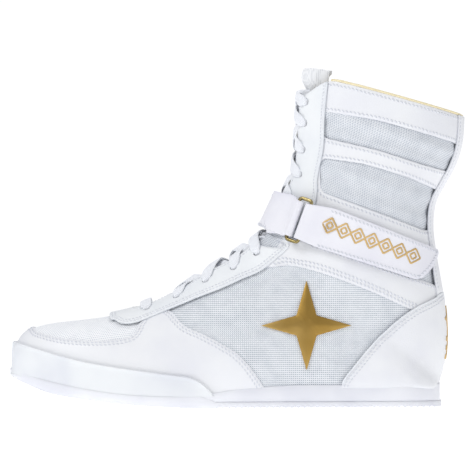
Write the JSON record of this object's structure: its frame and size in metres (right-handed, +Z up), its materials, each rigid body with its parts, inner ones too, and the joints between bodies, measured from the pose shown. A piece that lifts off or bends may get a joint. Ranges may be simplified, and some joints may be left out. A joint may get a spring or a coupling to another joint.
{
  "type": "boxing boot",
  "caption": "White lace-up high-top boxing boot for the left foot, with mesh windows, a thin serrated sole, gold trim and a hook-and-loop ankle strap through a metal ring.",
  "frame": {"origin": "on the floor under the middle of the boot's bounding box", "axes": "+X towards the heel, +Y towards the inner side of the foot, +Z up"},
  "size_m": [0.3074, 0.098, 0.2274],
  "materials": {
    "leather": "fine-grained white synthetic leather, satin, lightly creased",
    "mesh": "open knitted spacer mesh, pale blue-grey over white",
    "rubber": "matt off-white moulded rubber",
    "foam": "white foam faced with cloth",
    "board": "stiff non-woven fibre board",
    "gold_cloth": "smooth gold lining cloth",
    "lace": "flat white woven lace",
    "gold": "metallic gold transfer film, satin",
    "metal": "polished gold-plated wire"
  },
  "bodies": {
    "boot": {"outsole": "rubber", "midsole": "rubber", "insole_board": "board", "sockliner": "foam", "toe_rand": "rubber", "mudguard": "leather", "vamp": "mesh", "toe_puff": "board", "vamp_lining": "mesh", "heel_counter": "board", "heel_foxing": "leather", "backstay": "leather", "lace_stay_lower": "leather", "collar_binding": "gold_cloth", "tongue": "mesh", "lace": "lace", "strap_anchor": "leather", "strap_pad_medial": "foam", "strap_base": "leather", "loop_patch": "mesh", "emblem_lateral": "gold", "emblem_medial": "gold", "emblem_heel": "gold", "quarter_mesh_lateral": "mesh", "shaft_mesh_lateral": "mesh", "quarter_lining_lateral": "mesh", "shaft_lining_lateral": "gold_cloth", "collar_padding_lateral": "foam", "ankle_band_lateral": "leather", "shaft_frame_lateral": "leather", "eyestay_upper_lateral": "leather", "quarter_mesh_medial": "mesh", "shaft_mesh_medial": "mesh", "quarter_lining_medial": "mesh", "shaft_lining_medial": "gold_cloth", "collar_padding_medial": "foam", "ankle_band_medial": "leather", "shaft_frame_medial": "leather", "eyestay_upper_medial": "leather"},
    "ring": {"ring": "metal"},
    "strap": {"strap_tail": "leather", "hook_patch": "mesh", "strap_emblem": "gold"}
  },
  "joints": [
    {"name": "ring_tilt", "type": "hinge", "parent": "boot", "child": "ring", "pos_m": [0.03753, -0.02964, 0.12662], "axis": [-0.3423, -0.004, -0.9396], "range_deg": [0, 25]},
    {"name": "strap_open", "type": "hinge", "parent": "ring", "child": "strap", "pos_m": [0.04518, -0.03435, 0.12385], "axis": [-0.3423, -0.004, -0.9396], "range_deg": [0, 140]}
  ]
}
